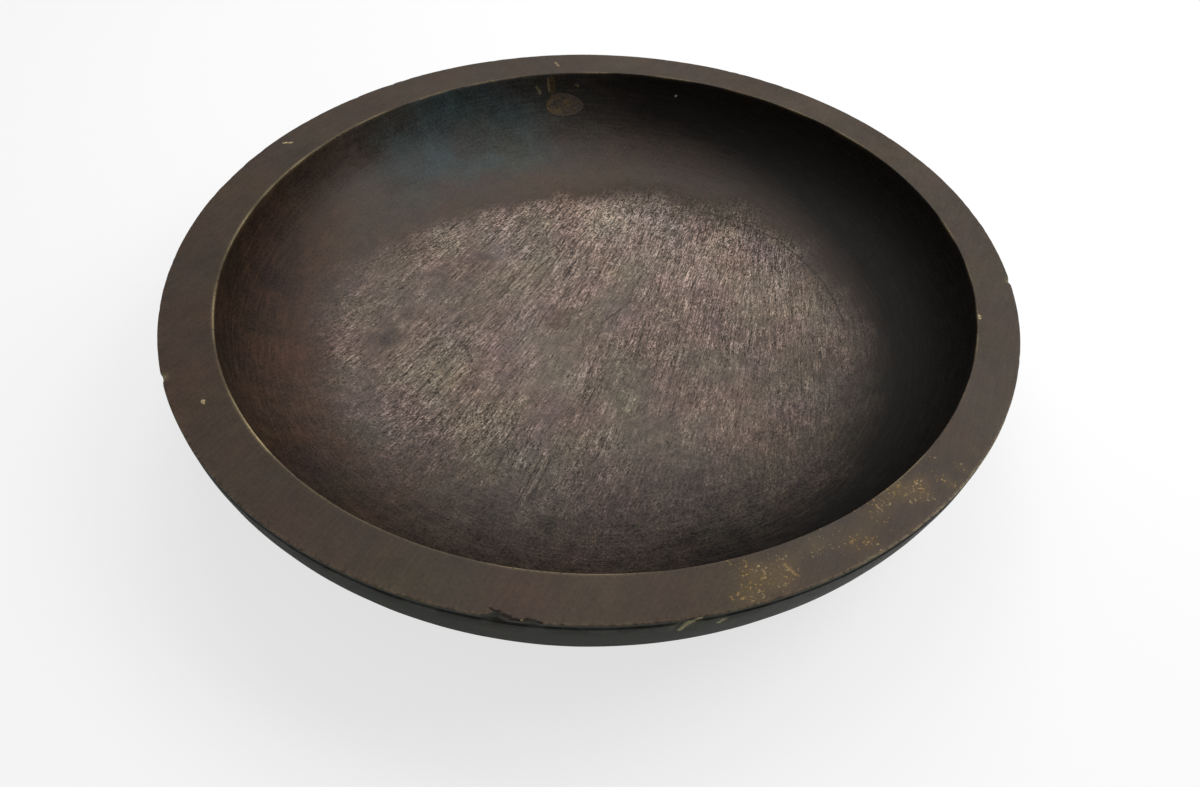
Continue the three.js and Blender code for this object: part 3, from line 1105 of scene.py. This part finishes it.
def add_table(stage):
    """A plain table, far larger than the view."""
    mesh = bpy.data.meshes.new("table")
    work = bmesh.new()
    bmesh.ops.create_grid(work, x_segments=1, y_segments=1, size=TABLE_REACH)
    work.to_mesh(mesh)
    work.free()
    material, tree, shader = new_material("table")
    shader.inputs["Base Color"].default_value = (*stage.table, 1)
    shader.inputs["Roughness"].default_value = 0.9
    shader.inputs["Specular IOR Level"].default_value = 0.1
    seen = out(tree, "ShaderNodeLightPath", port="Is Camera Ray") * TABLE_GLOW
    glow = out(tree, "ShaderNodeEmission", Color=(1, 1, 1), Strength=1)
    mixed = out(tree, "ShaderNodeMixShader", entries=(seen, shader.outputs[0], glow))
    feed(tree.nodes["Material Output"].inputs["Surface"], mixed)
    mesh.materials.append(material)
    table = new_piece("table", mesh)
    table.location.z = -TABLE_CLEARANCE


def add_camera(stage):
    heading = math.radians(90) + stage.azimuth
    level, rise = math.cos(stage.elevation), math.sin(stage.elevation)
    forward = Vector((math.cos(heading) * level, math.sin(heading) * level, -rise))
    right = Vector((math.sin(heading), -math.cos(heading), 0))
    turn = Matrix((right, right.cross(forward), -forward)).transposed() @ Matrix.Rotation(stage.roll, 3, "Z")
    data = bpy.data.cameras.new("camera")
    data.lens = stage.lens
    data.clip_start = 0.01
    camera = new_piece("camera", data)
    aim = Vector((*stage.aim, CAD_BOX[1].z))
    camera.matrix_world = Matrix.LocRotScale(aim - forward * stage.distance, turn, None)
    bpy.context.scene.camera = camera


def add_world(strength):
    world = bpy.data.worlds.new("studio")
    world.use_nodes = True
    sky = world.node_tree.nodes["Background"]
    sky.inputs["Color"].default_value = (1, 1, 1, 1)
    seen = out(world.node_tree, "ShaderNodeLightPath", port="Is Camera Ray")
    feed(sky.inputs["Strength"], seen * (1 - strength) + strength)
    bpy.context.scene.world = world


# Operators

def build_piece(context, name, node, material, clearance, operation):
    """The block cut with the knot's cone, or what they share, as a piece in the frame."""
    sizes, knot = context.scene.bowl_sizes, context.scene.knot_sizes
    rings, *ends = ring_table(sizes)
    block = wrapped_block(sizes, rings, material)
    mesh = cut(block, knot_cone("knot_cone", sizes, knot, clearance), operation, name)
    carve(mesh, sizes, knot, ends)
    finish_mesh(mesh, material)
    piece = new_piece(name, mesh)
    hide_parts(node)
    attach(piece, "root")


class BOWL_OT_body(bpy.types.Operator):
    """Carve the bowl with its broad flat rim"""

    bl_idname = "bowl.body"
    bl_label = "Carve Bowl"

    def execute(self, context):
        material = bowl_material(context.scene.bowl_finish)
        gap = context.scene.knot_sizes.gap
        build_piece(context, "bowl_wood", "bowl_body", material, gap, "DIFFERENCE")
        return {"FINISHED"}


class BOWL_OT_knot(bpy.types.Operator):
    """Fit the knot's plug into the inner wall"""

    bl_idname = "bowl.knot"
    bl_label = "Fit Knot"

    def execute(self, context):
        material = knot_material(context.scene.bowl_finish)
        build_piece(context, "knot_wood", "knot_plug", material, 0, "INTERSECT")
        return {"FINISHED"}


class BOWL_OT_stage(bpy.types.Operator):
    """Set up the table, the lamps and the camera"""

    bl_idname = "bowl.stage"
    bl_label = "Set Stage"

    def execute(self, context):
        stage = context.scene.bowl_stage
        add_table(stage)
        for index, lamp in enumerate(LAMPS):
            add_lamp(f"lamp_{index}", *lamp)
        add_world(stage.world)
        add_camera(stage)
        context.scene.view_settings.view_transform = "Standard"
        return {"FINISHED"}


class BOWL_PT_panel(bpy.types.Panel):
    """Lists the steps that build the bowl"""

    bl_label = "Carved Bowl"
    bl_idname = "BOWL_PT_panel"
    bl_space_type = "VIEW_3D"
    bl_region_type = "UI"
    bl_category = "Bowl"

    def draw(self, context):
        for step in STEPS:
            self.layout.operator(step.bl_idname)


STEPS = (BOWL_OT_body, BOWL_OT_knot, BOWL_OT_stage)
GROUPS = {
    "bowl_sizes": BowlSizes, "knot_sizes": KnotSizes, "bowl_finish": BowlFinish, "bowl_stage": StageSetup
}


def register():
    for kind in (*GROUPS.values(), *STEPS, BOWL_PT_panel):
        bpy.utils.register_class(kind)
    for name, kind in GROUPS.items():
        setattr(bpy.types.Scene, name, PointerProperty(type=kind))


def unregister():
    for name in GROUPS:
        delattr(bpy.types.Scene, name)
    for kind in (BOWL_PT_panel, *reversed(STEPS), *reversed(GROUPS.values())):
        bpy.utils.unregister_class(kind)


def main():
    register()
    bpy.ops.bowl.body()
    bpy.ops.bowl.knot()
    bpy.ops.bowl.stage()


if __name__ == "__main__":
    main()
